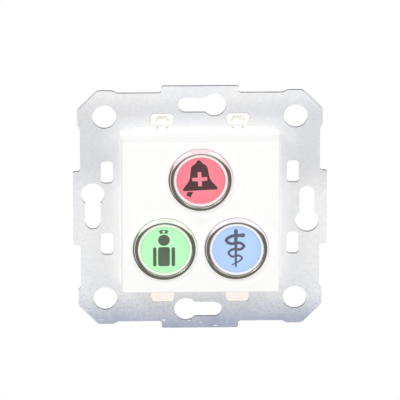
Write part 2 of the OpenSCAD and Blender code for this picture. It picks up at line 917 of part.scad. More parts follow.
// Translucent cup that slides in the bezel, with a boss for the stem and a lip for the stop
module cap(i) {
    color("white") upright() at_button(i) {
        rotate_extrude() {
            translate([boss_r, cap_floor_back]) square([cap_r - boss_r, cap_floor_t]);
            translate([cap_inner_r, cap_bottom]) square([cap_wall, cap_floor_back - cap_bottom]);
            translate([cap_r, cap_bottom]) square([cap_lip_r - cap_r, cap_lip_t]);
            translate([cap_r - cap_rim, seat_front]) square([cap_rim, seat_depth - rim_edge]);
            translate([cap_r - cap_rim + rim_edge, seat_front]) square([cap_rim - 2 * rim_edge, seat_depth]);
            for (x = [cap_r - cap_rim + rim_edge, cap_r - rim_edge]) {
                translate([x, rim_top - rim_edge]) circle(rim_edge);
            }
        }
        difference() {
            slab(boss_bottom, seat_front) circle(boss_r);
            slab(boss_bottom - overrun, cap_floor_back) circle(stem_r + press_gap);
        }
    }
}

module legend(i) {
    color(COLOURS[i]) upright() at_button(i) slab(seat_front, legend_front) circle(legend_r);
}

// Clear disc with a shallow dome, whose height falls off with the square of the distance from the axis
module lens(i) {
    dome = [for (k = [0:dome_steps]) let (share = 1 - k / dome_steps)
        [legend_r * share, rim_top + lens_dome * (1 - share * share)]];
    color("lightcyan") upright() at_button(i) rotate_extrude()
        polygon(concat([[0, lens_back], [legend_r, lens_back]], dome));
}

// Round stem with a chamfered foot, held in the cap and sliding in the switch
module stem(i) {
    color("dimgray") upright() at_button(i) rotate_extrude() polygon([
        [0, stem_bottom], [stem_r - stem_tip, stem_bottom], [stem_r, stem_bottom + stem_tip],
        [stem_r, cap_floor_back], [0, cap_floor_back]]);
}

module switch(i) {
    color("black") upright() at_button(i) difference() {
        union() {
            block([0, 0], switch_w, switch_w, board_front, switch_top);
            slab(switch_top, switch_top + collar_h) circle(collar_r);
        }
        slab(board_front + switch_floor_t, switch_top + collar_h + overrun) circle(stem_bore_r);
    }
}

module lamps(i) {
    color("lightyellow") upright() at_button(i) for (side = [-1, 1]) {
        block([side * lamp_x, 0], lamp_w, lamp_l, board_front, board_front + lamp_h);
    }
}

// Centre line of a return spring and one ring of points round it
function spring_point(a) = [spring_r * cos(a), spring_r * sin(a), spring_low + spring_climb * a];
function spring_ring(a) =
    let (run = [-sin(a), cos(a), spring_climb * 180 / (PI * spring_r)],
         tangent = run / norm(run),
         inward = [-cos(a), -sin(a), 0],
         up = cross(tangent, inward))
    [for (k = [0:wire_sides - 1])
        let (b = 360 * k / wire_sides)
        spring_point(a) + wire_d / 2 * (cos(b) * inward + sin(b) * up)];

// Least gap between one turn and the next, measured on the centre line's points
spring_gap = min([for (i = [0:spring_steps - ring_per_turn]) for (j = [-1:1])
    let (a = i * 360 / ring_per_turn, b = a + 360 + j * 360 / ring_per_turn)
    norm(spring_point(b) - spring_point(a))]) - wire_d;
echo(spring_gap = spring_gap);

module spring(i) {
    points = [for (s = [0:spring_steps]) each spring_ring(s * 360 / ring_per_turn)];
    sides = [for (s = [0:spring_steps - 1]) for (k = [0:wire_sides - 1])
        let (n = (k + 1) % wire_sides, a = s * wire_sides, b = a + wire_sides)
        each [[a + k, b + k, b + n], [a + k, b + n, a + n]]];
    last = spring_steps * wire_sides;
    start_cap = [for (k = [1:wire_sides - 2]) [0, k, k + 1]];
    end_cap = [for (k = [1:wire_sides - 2]) [last, last + k + 1, last + k]];
    color("silver") upright() at_button(i) polyhedron(points, concat(sides, start_cap, end_cap));
}

module button_part(i, name) {
    if (name == "bezel") bezel(i);
    if (name == "bezel_nut") bezel_nut(i);
    if (name == "cap") cap(i);
    if (name == "legend") legend(i);
    if (name == "lens") lens(i);
    if (name == "stem") stem(i);
    if (name == "spring") spring(i);
    if (name == "switch") switch(i);
    if (name == "lamps") lamps(i);
}

mounting_frame();
insert_frame();
front_cover();
rear_housing();
light_baffle();
circuit_board();
board_screws();
controller_chip();
smoothing_capacitor();
board_resistors();
terminal_header();
header_pins();
terminal_plug();
wire_clamps();
terminal_screws();
for (i = [0:2]) {
    for (p = BUTTON_PARTS) {
        button_part(i, p);
    }
}
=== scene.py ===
import math

import bmesh
import bpy
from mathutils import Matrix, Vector


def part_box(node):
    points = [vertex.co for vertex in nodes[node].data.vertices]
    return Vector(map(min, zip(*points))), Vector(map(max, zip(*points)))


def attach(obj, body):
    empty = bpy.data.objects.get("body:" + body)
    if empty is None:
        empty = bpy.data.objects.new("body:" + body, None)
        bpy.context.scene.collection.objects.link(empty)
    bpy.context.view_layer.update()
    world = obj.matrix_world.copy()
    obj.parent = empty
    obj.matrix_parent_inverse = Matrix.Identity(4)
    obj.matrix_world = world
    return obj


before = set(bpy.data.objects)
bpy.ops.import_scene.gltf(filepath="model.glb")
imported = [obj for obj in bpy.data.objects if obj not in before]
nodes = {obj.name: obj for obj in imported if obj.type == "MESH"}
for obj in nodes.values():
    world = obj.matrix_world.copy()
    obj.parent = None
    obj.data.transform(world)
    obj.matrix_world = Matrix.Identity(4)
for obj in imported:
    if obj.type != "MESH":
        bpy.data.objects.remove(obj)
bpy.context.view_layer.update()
MM = 0.001
ACROSS, OUT, UP = 0, 1, 2
WHITE = (1.0, 1.0, 1.0)

# Places and sizes of nodes on the face, in millimetres, x to the right and y up


def middle(node):
    low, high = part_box(node)
    return (low.x + high.x) / 2 / MM, (low.z + high.z) / 2 / MM


def half_width(node):
    low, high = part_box(node)
    return (high.x - low.x) / 2 / MM


def front_level(node):
    """How far a node's front stands out of the wall."""
    return -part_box(node)[0].y / MM


def at(x, y, out):
    """A point given by its place on the face and its level out of the wall."""
    return Vector((x * MM, -out * MM, y * MM))


def put(name, data):
    """A new object in the scene."""
    obj = bpy.data.objects.new(name, data)
    bpy.context.scene.collection.objects.link(obj)
    return obj


# Node trees


class Tree:
    """A node tree and short ways to fill it. What a node gives is a pair: the node and its output."""

    def __init__(self, owner):
        owner.use_nodes = True
        self.tree = owner.node_tree
        self.tree.nodes.clear()

    def node(self, kind, settings=None, **inputs):
        """A new node. Its inputs are given by name, or by _ and their number."""
        made = self.tree.nodes.new(kind)
        for key, value in (settings or {}).items():
            setattr(made, key, value)
        for key, value in inputs.items():
            self.feed(made, key, value)
        return made

    def feed(self, node, socket, value):
        """Links an input to what another node gives, or sets it to a constant or a colour."""
        target = node.inputs[int(socket[1:])] if socket[0] == "_" else node.inputs[socket]
        if isinstance(value, tuple) and isinstance(value[0], bpy.types.Node):
            self.tree.links.new(value[0].outputs[value[1]], target)
        elif target.type == "RGBA" and len(value) == 3:
            target.default_value = (*value, 1)
        else:
            target.default_value = value

    def maths(self, how, a, b=0.5):
        return self.node("ShaderNodeMath", {"operation": how}, _0=a, _1=b), 0

    def vectors(self, how, a, b=(0, 0, 0), out=0):
        return self.node("ShaderNodeVectorMath", {"operation": how}, _0=a, _1=b), out

    def ray(self, kind):
        """One for rays of a kind, such as Camera, and zero for others."""
        return self.node("ShaderNodeLightPath"), "Is " + kind + " Ray"

    def mix_shaders(self, share, a, b):
        return self.node("ShaderNodeMixShader", _0=share, _1=a, _2=b), 0


class Look(Tree):
    """One material: a Principled shader and the nodes that feed it."""

    def __init__(self, name, colour, roughness, metallic=0.0, ior=1.45, **more):
        self.material = bpy.data.materials.new(name)
        super().__init__(self.material)
        self.material.diffuse_color = (*colour, 1)
        self.shader = self.node("ShaderNodeBsdfPrincipled", **{
            "Base Color": colour, "Metallic": metallic, "Roughness": roughness, "IOR": ior, **more})
        self.end = self.node("ShaderNodeOutputMaterial", Surface=(self.shader, 0))
        self.coordinates = self.node("ShaderNodeTexCoord")
        self.last_bump = None

    def set(self, socket, value):
        self.feed(self.shader, socket, value)

    def place(self, stretch=(1, 1, 1), turn=(0, 0, 0)):
        """Object coordinates in millimetres."""
        scale = [s / MM for s in stretch]
        return self.node("ShaderNodeMapping", Vector=(self.coordinates, "Object"), Scale=scale,
                         Rotation=turn), 0

    def noise(self, size, detail, rough, stretch=(1, 1, 1), turn=(0, 0, 0), twist=0.0):
        """Noise whose grain is about size millimetres across."""
        return self.node("ShaderNodeTexNoise", Vector=self.place(stretch, turn), Scale=1 / size,
                         Detail=detail, Roughness=rough, Distortion=twist), 0

    def cells(self, size, out="Distance"):
        """Scattered points about size millimetres apart, as the distance to the nearest or as its tone."""
        return self.node("ShaderNodeTexVoronoi", Vector=self.place(), Scale=1 / size), out

    def ramp(self, value, low, high, a=0.0, b=1.0, smooth=True):
        """A change from a to b while the value goes from low to high."""
        return self.node("ShaderNodeMapRange", {"interpolation_type": "SMOOTHSTEP" if smooth else "LINEAR"},
                         _0=value, _1=low, _2=high, _3=a, _4=b), 0

    def mix(self, share, a, b):
        """Colour a where the share is 0, and b where it is 1."""
        return self.node("ShaderNodeMix", {"data_type": "RGBA"}, _0=share, _6=a, _7=b), 2

    def bump(self, height, depth):
        """Bump with a depth in millimetres. Several bumps are added one after another."""
        before = {"Normal": self.last_bump} if self.last_bump else {}
        self.last_bump = self.node("ShaderNodeBump", Height=height, Distance=depth * MM, **before), 0
        self.set("Normal", self.last_bump)

    def facing(self, axis, low, high):
        """Share of a surface that faces along one axis of the object, either way."""
        parts = self.node("ShaderNodeSeparateXYZ", Vector=(self.coordinates, "Normal"))
        return self.ramp(self.maths("ABSOLUTE", (parts, axis)), low, high)

    def along(self, axis, low, high, a=0.0, b=1.0):
        """A slow change along one axis of the object, between two places in millimetres."""
        parts = self.node("ShaderNodeSeparateXYZ", Vector=self.place())
        return self.ramp((parts, axis), low, high, a, b)

    def within(self, node, inset, soft=0.5):
        """One inside the front outline of a node, less an inset in millimetres, and zero outside it."""
        low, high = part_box(node)
        parts = self.node("ShaderNodeSeparateXYZ", Vector=self.place())
        shares = []
        for axis in (ACROSS, UP):
            half = (high[axis] - low[axis]) / 2 / MM - inset
            off = self.maths("SUBTRACT", (parts, axis), (high[axis] + low[axis]) / 2 / MM)
            shares.append(self.ramp(self.maths("ABSOLUTE", off), half, half + soft, 1.0, 0.0))
        return self.maths("MULTIPLY", *shares)

    def off_axis(self, node):
        """Distance in millimetres from the line through a node's middle that points out of the wall."""
        x, y = middle(node)
        shift = self.vectors("SUBTRACT", self.place(), (x, 0, y))
        flat = self.vectors("MULTIPLY", shift, (1, 0, 1))
        return self.vectors("LENGTH", flat, out="Value")

    def openness(self, reach):
        """One on open surfaces, and less where others stand within reach, in millimetres."""
        return self.node("ShaderNodeAmbientOcclusion", {"samples": 8}, Distance=reach * MM), "AO"

    def glow(self, colour, strength):
        self.set("Emission Color", colour)
        self.set("Emission Strength", strength)


# Materials

# How much the discs and the caps round them shine by themselves
BUTTON_GLOW = 0.06

# Plastics by slot: colour, roughness, depth of the grain in millimetres and spread of the tint
PLASTICS = {
    "housing_plastic": ((0.80, 0.80, 0.78), 0.48, 0.012, 0.03),
    "baffle_plastic": ((0.88, 0.88, 0.86), 0.5, 0.01, 0.02),
    "stem_plastic": ((0.55, 0.56, 0.58), 0.35, 0.006, 0.04),
    "switch_plastic": ((0.035, 0.036, 0.04), 0.42, 0.01, 0.10),
    "chip_epoxy": ((0.05, 0.05, 0.055), 0.55, 0.02, 0.12),
    "resistor_body": ((0.07, 0.07, 0.08), 0.4, 0.008, 0.10),
    "terminal_plastic": ((0.04, 0.36, 0.14), 0.42, 0.01, 0.06),
}

# Metals by slot: colour, roughness and weight of the marks
METALS = {
    "nut_metal": ((0.62, 0.62, 0.60), 0.32, 0.5),
    "spring_steel": ((0.70, 0.70, 0.71), 0.22, 0.5),
    "screw_steel": ((0.66, 0.67, 0.69), 0.28, 0.5),
    "capacitor_can": ((0.84, 0.84, 0.86), 0.24, 0.6),
    "pin_brass": ((0.86, 0.66, 0.32), 0.2, 0.5),
    "clamp_steel": ((0.60, 0.62, 0.66), 0.3, 0.5),
}

# Colours of each button: its disc in the middle and at the rim, its cap, the painted reflection of the disc's
# colour on its ring's top, and its ink
BUTTONS = {
    "red": {
        "disc": (0.975, 0.29, 0.355),
        "disc_rim": (0.965, 0.225, 0.295),
        "cap": (0.95, 0.80, 0.80),
        "ring_top": (0.96, 0.77, 0.79),
        "ink": (0.078, 0.016, 0.020),
    },
    "green": {
        "disc": (0.54, 0.98, 0.59),
        "disc_rim": (0.50, 0.97, 0.54),
        "cap": (0.84, 0.90, 0.78),
        "ring_top": (0.86, 0.93, 0.80),
        "ink": (0.100, 0.138, 0.088),
    },
    "blue": {
        "disc": (0.52, 0.70, 0.99),
        "disc_rim": (0.46, 0.65, 0.98),
        "cap": (0.87, 0.86, 0.88),
        "ring_top": (0.92, 0.87, 0.94),
        "ink": (0.105, 0.115, 0.180),
    },
}


def moulded(name, colour, roughness, grain, tint, **more):
    """Moulded plastic: fine spark-eroded grain, slow unevenness, and faint clouds in colour and gloss."""
    look = Look(name, colour, roughness=roughness, **more)
    pale = tuple(min(1.0, c * (1 + tint)) for c in colour)
    deep = tuple(c * (1 - tint) for c in colour)
    cloud = look.noise(9, 4, 0.6)
    look.set("Base Color", look.mix(look.ramp(cloud, 0.3, 0.7), deep, pale))
    wear = look.noise(1.6, 5, 0.65)
    look.set("Roughness", look.ramp(wear, 0.3, 0.7, roughness - 0.05, roughness + 0.07))
    look.bump(look.noise(0.22, 2, 0.5), grain)
    look.bump(look.noise(12, 2, 0.5), 0.03)
    return look


def cover_plastic():
    """Smooth white plastic with painted light in its hollows, but for the deepest, which lifts the shade that
    falls there.
    """
    look = moulded("cover_plastic", (0.952, 0.949, 0.940), 0.38, 0.004, 0.006, **{"Specular IOR Level": 0.3})
    # Painted light: an emission where other parts stand close, such as round the rings, stands in for light
    # in their shade.
    painted_hollow_light, strength, reach, deepest = (0.95, 0.935, 0.92), 0.40, 3.0, 0.3
    openness = look.openness(reach)
    painted_light_strength = look.ramp(openness, deepest, 1.0, strength, 0.0, smooth=False)
    not_deepest = look.ramp(openness, deepest - 0.1, deepest + 0.1)
    look.glow(painted_hollow_light, look.maths("MULTIPLY", painted_light_strength, not_deepest))
    return look


def insert_plastic():
    """White plastic with painted warm light in the hollows of its clips, painted white light in its other
    hollows, and a little painted light along its low side, which lifts the shade there.
    """
    look = moulded("insert_plastic", (0.95, 0.925, 0.91), 0.45, 0.008, 0.015)
    # Painted light: emissions in the hollows and along the low side stand in for light where shade falls.
    painted_clip_light, painted_other_light, strength, reach = (0.91, 0.76, 0.56), (0.95, 0.95, 0.95), 0.145, 1.5
    # Places of the clips to both sides of the middle, and the low side, in millimetres
    clip_x, clip_half, soft = 10.5, 3.2, 0.4
    low_side, painted_low_light = (-24, -20), 0.20
    parts = look.node("ShaderNodeSeparateXYZ", Vector=look.place())
    from_clip = look.maths("SUBTRACT", look.maths("ABSOLUTE", (parts, ACROSS)), clip_x)
    at_clip = look.ramp(look.maths("ABSOLUTE", from_clip), clip_half, clip_half + soft, 1.0, 0.0)
    painted_light_strength = look.ramp(look.openness(reach), 0.0, 1.0, strength, 0.0, smooth=False)
    # Painted light along the low side, which lies in the cover's shade.
    painted_light_strength = look.maths("ADD", painted_light_strength, look.along(UP, *low_side, painted_low_light, 0.0))
    look.glow(look.mix(at_clip, painted_other_light, painted_clip_light), painted_light_strength)
    return look


def cap_plastic(colour_name):
    """Translucent white plastic with a breath of the disc's colour in it."""
    tint = BUTTONS[colour_name]["cap"]
    look = moulded("cap_plastic_" + colour_name, tint, 0.3, 0.003, 0.01)
    look.set("Subsurface Weight", 0.3)
    look.set("Subsurface Radius", (1.0, 0.9, 0.85))
    look.set("Subsurface Scale", 0.8 * MM)
    look.glow(tint, BUTTON_GLOW)
    return look


def drawn_metal(name, colour, roughness, marks):
    """Plated metal with fine scratches, cloudy plating and small pits."""
    look = Look(name, colour, metallic=1.0, roughness=roughness)
    deep = tuple(c * 0.82 for c in colour)
    look.set("Base Color", look.mix(look.ramp(look.noise(2.5, 4, 0.6), 0.35, 0.65), deep, colour))
    fine = look.noise(0.12, 3, 0.6, stretch=(1, 1, 14))
    look.set("Roughness", look.ramp(fine, 0.3, 0.7, roughness * 0.7, roughness * 1.4))
    look.bump(fine, 0.002 * marks)
    look.bump(look.ramp(look.cells(0.7), 0.04, 0.12), 0.004 * marks)
    return look


def sheet_clouds(look):
    """Tone of the sheet: warm and cool clouds, painted shade in blue towards its foot for a darker reflection
    there, and grey across its upper half.
    """
    warm, cool = (0.985, 0.98, 0.975), (0.93, 0.945, 0.97)
    # The blue towards the foot is painted shade, standing in for a darker reflection there.
    painted_foot_shade, upper_grey = (0.275, 0.325, 0.475), (0.69, 0.695, 0.725)
    # Heights on the sheet, in millimetres from its middle
    foot, upper_from, upper_until = (-36.5, -24.5), (2, 14), (27, 35)
    colour = look.mix(look.ramp(look.noise(24, 2, 0.4, twist=0.4), 0.38, 0.62), cool, warm)
    foot_cloud = look.ramp(look.noise(7, 3, 0.6), 0.3, 0.7, 0.8, 1.0)
    # Painted shade: the foot darkens to blue as if it reflected a darker room below.
    painted_foot_share = look.maths("MULTIPLY", look.along(UP, *foot, 1.0, 0.0), foot_cloud)
    colour = look.mix(painted_foot_share, colour, painted_foot_shade)
    upper = look.maths("MULTIPLY", look.along(UP, *upper_from), look.along(UP, *upper_until, 1.0, 0.0))
    return look.mix(look.maths("MULTIPLY", upper, 0.7), colour, upper_grey)


def sheet_marks(look, colour, grain):
    """The sheet's grain and crystals, and its dark grain, specks and rubbed lines, stronger low down."""
    pale_grain, dark_grain = (0.97, 0.97, 0.98), (0.38, 0.43, 0.62)
    crystal, bright = (0.50, 0.53, 0.60), (0.99, 0.99, 0.99)
    low_part = look.along(UP, -34, -18, 1.0, 0.25)
    colour = look.mix(look.ramp(grain, 0.34, 0.66, 0.0, 0.22), colour, pale_grain)
    tone = look.node("ShaderNodeSeparateColor", Color=look.cells(0.9, out="Color"))
    colour = look.mix(look.ramp((tone, 0), 0.0, 1.0, 0.0, 0.06), colour, crystal)
    dark_share = look.ramp(look.noise(0.9, 4, 0.75), 0.42, 0.66, 0.0, 0.42)
    colour = look.mix(look.maths("MULTIPLY", dark_share, low_part), colour, dark_grain)
    specks = look.maths("MULTIPLY", look.ramp(look.cells(2.6), 0.03, 0.09, 1.0, 0.0),
                        look.ramp(look.noise(6, 2, 0.5), 0.48, 0.58))
    lines = look.noise(0.45, 2, 0.4, stretch=(0.2, 1, 1), turn=(0, 0.5, 0))
    rubs = look.maths("MULTIPLY", look.ramp(lines, 0.63, 0.69), look.ramp(look.noise(8, 2, 0.5), 0.52, 0.60))
    marks = look.maths("MULTIPLY", look.maths("MAXIMUM", specks, rubs), low_part)
    return look.mix(marks, colour, bright)


def cut_edge(look):
    """Tone of the sheet's cut edges: dark and streaky, with a painted highlight that makes them pale in the
    opening for the insert frame.
    """
    # The pale tone is a painted highlight for the cut edges in the opening for the insert frame.
    dark, less_dark, pale = (0.10, 0.09, 0.115), (0.24, 0.225, 0.26), (0.85, 0.85, 0.86)
    streaks = look.ramp(look.noise(0.5, 3, 0.6, stretch=(1, 0.15, 1)), 0.35, 0.65)
    # Painted highlight: inside the opening the edges are pale, as if brightly lit, instead of dark.
    return look.mix(look.within("insert_frame", 2.5), look.mix(streaks, dark, less_dark), pale)


def zinc_steel():
    """Zinc-plated sheet: cloudy, grained and marked, with a painted reflection of the cover that makes it
    paler near it, painted light that lifts the shade in its hollows, and darker cut edges.
    """
    look = Look("zinc_steel", (0.82, 0.83, 0.85), metallic=0.18, roughness=0.42)
    grain = look.noise(0.35, 5, 0.7)
    colour = sheet_marks(look, sheet_clouds(look), grain)
    # Painted reflection: the sheet turns paler near the cover, as if the cover's white sides shone in it.
    painted_cover_reflection = look.maths("MULTIPLY", look.within("front_cover", -1.5, 5.0), 0.3)
    colour = look.mix(painted_cover_reflection, colour, (0.995, 0.995, 1.0))
    # Painted light: an emission in the hollows lifts the shade under and beside the cover.
    painted_hollow_light, strength, reach = (0.92, 0.94, 1.0), 0.14, 8.0
    look.set("Base Color", look.mix(look.facing(OUT, 0.35, 0.75), cut_edge(look), colour))
    look.set("Roughness", look.ramp(look.noise(1.3, 4, 0.65), 0.3, 0.7, 0.33, 0.47))
    look.bump(grain, 0.008)
    look.bump(look.noise(16, 2, 0.5), 0.05)
    look.glow(painted_hollow_light, look.ramp(look.openness(reach), 0.0, 1.0, strength, 0.0, smooth=False))
    return look


def chrome(colour_name):
    """Bright plating with faint marks and pits, a painted reflection of the disc's colour on its upper part,
    and painted shade on its inner lip.
    """
    node = colour_name + "_bezel"
    plating, painted_lip_shade = (0.93, 0.91, 0.88), (0.50, 0.48, 0.45)
    # Where the painted shade on the inner lip ends, in millimetres from the ring's axis
    lip_ends = (7.74, 7.84)
    look = Look("chrome_" + colour_name, (0.93, 0.92, 0.90), metallic=1.0, roughness=0.07)
    level, radius = middle(node)[1], half_width(node)
    # Painted reflection: the ring's upper part takes on the disc's colour.
    painted_reflection_share = look.along(UP, level - radius, level + radius * 0.7)
    colour = look.mix(painted_reflection_share, plating, BUTTONS[colour_name]["ring_top"])
    # Painted shade: the inner lip is dull, as if the gap beside the cap lay in shade.
    painted_lip_share = look.ramp(look.off_axis(node), *lip_ends, 1.0, 0.0)
    look.set("Base Color", look.mix(painted_lip_share, colour, painted_lip_shade))
    haze = look.noise(1.2, 5, 0.7)
    look.set("Roughness", look.ramp(haze, 0.35, 0.7, 0.05, 0.12))
    look.bump(look.noise(0.5, 3, 0.6), 0.0008)
    look.bump(look.ramp(look.cells(1.4), 0.03, 0.08), 0.002)
    return look


def legend(colour_name):
    """Tinted disc lit from behind: a touch brighter in the middle, with faint diffuser mottling."""
    node = colour_name + "_legend"
    inner, outer = BUTTONS[colour_name]["disc"], BUTTONS[colour_name]["disc_rim"]
    look = Look("legend_" + colour_name, inner, roughness=0.5)
    share = look.ramp(look.off_axis(node), 0.0, half_width(node))
    mottling = look.noise(5, 3, 0.5, turn=(0, 0.7, 0), stretch=(1, 1, 0.4))
    cloud = look.ramp(mottling, 0.35, 0.65, -0.18, 0.18)
    colour = look.mix(look.maths("ADD", share, cloud), inner, outer)
    look.set("Base Color", colour)
    look.glow(colour, BUTTON_GLOW)
    look.bump(look.noise(0.3, 2, 0.5), 0.003)
    return look


def lens_clear():
    """Clear disc: nearly invisible from the front, with a soft gloss and a few fine scratches."""
    look = Look("lens_clear", WHITE, roughness=0.08, ior=1.49)
    rim = look.node("ShaderNodeLayerWeight", Blend=0.3)
    veil = look.ramp((rim, "Facing"), 0.1, 1.0, 0.015, 0.7)
    lines = look.noise(0.35, 2, 0.4, stretch=(0.15, 1, 1), turn=(0, 0.6, 0))
    look.set("Alpha", look.maths("ADD", veil, look.ramp(lines, 0.74, 0.80, 0.0, 0.12)))
    look.set("Roughness", look.ramp(look.noise(2.2, 4, 0.6), 0.35, 0.65, 0.05, 0.14))
    look.bump(look.noise(3.5, 2, 0.5), 0.002)
    return look


def board_laminate():
    """Solder mask over woven glass, with straight traces and round tinned pads."""
    mask, mask_over_weave = (0.018, 0.15, 0.055), (0.03, 0.23, 0.085)
    copper_line, tin = (0.05, 0.32, 0.11), (0.72, 0.70, 0.62)
    look = Look("board_laminate", (0.02, 0.16, 0.06), roughness=0.35)
    weave = look.node("ShaderNodeTexWave", {"bands_direction": "X"}, Vector=look.place(), Scale=0.9,
                      Distortion=1.0)
    base = look.mix(look.ramp((weave, 1), 0.2, 0.8, 0.0, 0.35), mask, mask_over_weave)
    flat_on_board = look.place(turn=(math.pi / 2, 0, 0))
    lines = look.node("ShaderNodeTexBrick", {"offset": 0.5}, Vector=flat_on_board, Scale=1.0, **{
        "Mortar Size": 0.09, "Brick Width": 4.4, "Row Height": 1.6, "Bias": 0.0})
    trace = look.ramp((lines, "Fac"), 0.3, 0.7)
    pads = look.ramp(look.cells(2.4), 0.10, 0.13, 1.0, 0.0)
    look.set("Base Color", look.mix(pads, look.mix(trace, base, copper_line), tin))
    look.set("Metallic", pads)
    look.bump(trace, 0.03)
    return look


def lamp_resin():
    """Small lamp body: cream resin that clouds to white."""
    look = Look("lamp_resin", (0.93, 0.88, 0.62), roughness=0.25)
    cloud = look.ramp(look.noise(0.6, 2, 0.5), 0.35, 0.65)
    look.set("Base Color", look.mix(cloud, (0.93, 0.84, 0.48), (0.95, 0.93, 0.86)))
    look.set("Subsurface Weight", 0.25)
    look.bump(look.noise(0.15, 2, 0.5), 0.004)
    return look


LOOKS = {
    "zinc_steel": zinc_steel(),
    "cover_plastic": cover_plastic(),
    "insert_plastic": insert_plastic(),
    "board_laminate": board_laminate(),
    "lens_clear": lens_clear(),
    "lamp_resin": lamp_resin(),
}
for slot_name, values in PLASTICS.items():
    LOOKS[slot_name] = moulded(slot_name, *values)
for slot_name, values in METALS.items():
    LOOKS[slot_name] = drawn_metal(slot_name, *values)
for colour_name in BUTTONS:
    LOOKS["legend_" + colour_name] = legend(colour_name)
    LOOKS["chrome_" + colour_name] = chrome(colour_name)
    LOOKS["cap_plastic_" + colour_name] = cap_plastic(colour_name)

for name, obj in nodes.items():
    slot_name = obj.material_slots[0].material.name.split(".")[0]
    if slot_name in ("cap_plastic", "chrome"):
        slot_name += "_" + name.split("_")[0]
    for slot in obj.material_slots:
        slot.material = LOOKS[slot_name].material

# Printed signs, in shares of the disc's radius from its centre, x to the right and y up

# Thickness of the ink in millimetres, and the share of it that each further layer stands out
INK_T = 0.03
THICKER_PER_LAYER = 0.3

SMOOTH_STEPS = 8
CORNER_STEPS = 6
DISC_SIDES = 48


def smooth_line(points):
    """Points of a smooth curve through the given ones."""
    last = len(points) - 1
    curve = []
    for i in range(last):
        a, b, c, d = (Vector(points[min(max(j, 0), last)]) for j in (i - 1, i, i + 1, i + 2))
        for step in range(SMOOTH_STEPS):
            t = step / SMOOTH_STEPS
            curve.append(0.5 * ((2 * b) + (c - a) * t + (2 * a - 5 * b + 4 * c - d) * t ** 2
                                + (3 * b - a - 3 * c + d) * t ** 3))
    curve.append(Vector(points[last]))
    return [tuple(p) for p in curve]


def turned(points, degrees, centre=(0, 0)):
    c, s = math.cos(math.radians(degrees)), math.sin(math.radians(degrees))
    return [(centre[0] + c * x - s * y, centre[1] + s * x + c * y) for x, y in points]


def round_box(x, y, half_w, half_h, r):
    points = []
    for k, (sx, sy) in enumerate(((1, 1), (-1, 1), (-1, -1), (1, -1))):
        for i in range(CORNER_STEPS + 1):
            a = math.radians(90 * k + 90 * i / CORNER_STEPS)
            points.append((x + sx * (half_w - r) + r * math.cos(a), y + sy * (half_h - r) + r * math.sin(a)))
    return points


def disc(x, y, r):
    angles = [2 * math.pi * i / DISC_SIDES for i in range(DISC_SIDES)]
    return [(x + r * math.cos(a), y + r * math.sin(a)) for a in angles]


def cross(x, y, arm_end, arm_half, degrees=0):
    corner = [(arm_half, arm_end), (arm_half, arm_half), (arm_end, arm_half)]
    points = []
    for k in range(4):
        points += turned(corner, -90 * k)
    return turned(points, degrees, (x, y))


def ribbon(line, widths):
    """Outline of a band round a centre line, with a half-width at each of its points."""
    left, right = [], []
    for i, p in enumerate(line):
        before, after = Vector(line[max(i - 1, 0)]), Vector(line[min(i + 1, len(line) - 1)])
        way = (after - before).normalized()
        side = Vector((-way.y, way.x)) * widths[i]
        left.append(tuple(Vector(p) + side))
        right.append(tuple(Vector(p) - side))
    return left + right[::-1]


def bell():
    """A bell that leans a little, with a cross left out of it and its clapper below."""
    mouth_half, mouth_middle, lean = 0.702, (-0.023, -0.4235), 2.7
    flank = smooth_line([(mouth_half, 0.09), (0.62, 0.20), (0.49, 0.36), (0.43, 0.47), (0.396, 0.58),
                         (0.365, 0.80), (0.345, 0.92), (0.31, 1.03), (0.24, 1.09), (0.155, 1.145),
                         (0.105, 1.21), (0.065, 1.265), (0.0, 1.307)])
    half = [(mouth_half, 0.0)] + flank
    whole = half + [(-x, y) for x, y in half[-2::-1]]
    clapper = [(-0.542, -0.496), (-0.3125, -0.496), (-0.429, -0.724), (-0.596, -0.636)]
    return [[turned(whole, lean, mouth_middle), cross(-0.046, 0.053, 0.31, 0.079, 3.0), clapper]]


def nurse():
    """A figure of head, body and arms, and over it a cap with a cross left out of it."""
    body_x, cap_x = -0.042, -0.052
    cap_top = smooth_line([(-0.25, 0.811), (-0.15, 0.848), (cap_x, 0.864), (0.046, 0.848), (0.146, 0.811)])
    cap_foot = smooth_line([(0.092, 0.689), (cap_x, 0.70), (-0.196, 0.689)])
    head = disc(body_x, 0.408, 0.24)
    torso = round_box(body_x, -0.3025, 0.242, 0.4125, 0.09)
    arms = [round_box(x, -0.312, half, 0.412, half - 0.004) for x, half in ((-0.423, 0.069), (0.344, 0.073))]
    return [[cap_top + cap_foot, cross(cap_x, 0.772, 0.075, 0.026), head, torso, *arms]]


def rod_and_snake():
    """A rod with a snake round it, which lies a little higher than the rod and thins towards its tail."""
    rod_x = -0.0375
    half_rod = [(0.035, -0.776), (0.078, 0.80), (0.06, 0.85), (0.02, 0.868)]
    rod = [(rod_x + x, y) for x, y in half_rod] + [(rod_x - x, y) for x, y in half_rod[::-1]]
    line = smooth_line([(0.34, 0.60), (0.229, 0.598), (0.09, 0.592), (rod_x, 0.592), (-0.271, 0.539),
                        (-0.4375, 0.386), (-0.271, 0.241), (rod_x, 0.263), (0.146, 0.263), (0.296, 0.132),
                        (0.146, -0.013), (rod_x, 0.0), (-0.208, -0.022), (-0.3375, -0.162), (-0.208, -0.316),
                        (rod_x, -0.294), (0.104, -0.285), (0.221, -0.395), (0.083, -0.535), (rod_x, -0.592),
                        (-0.208, -0.697)])
    neck_half, thinner_at_tail = 0.066, 0.042
    head_swell, head_at, head_length, nose_length = 0.022, 0.045, 0.03, 0.03
    widths = []
    for i in range(len(line)):
        share = i / (len(line) - 1)
        nose = min(1.0, 0.35 + share / nose_length)
        head = head_swell * math.exp(-((share - head_at) / head_length) ** 2)
        widths.append((neck_half - thinner_at_tail * share ** 2) * nose + head)
    return [[rod], [ribbon(line, widths)]]


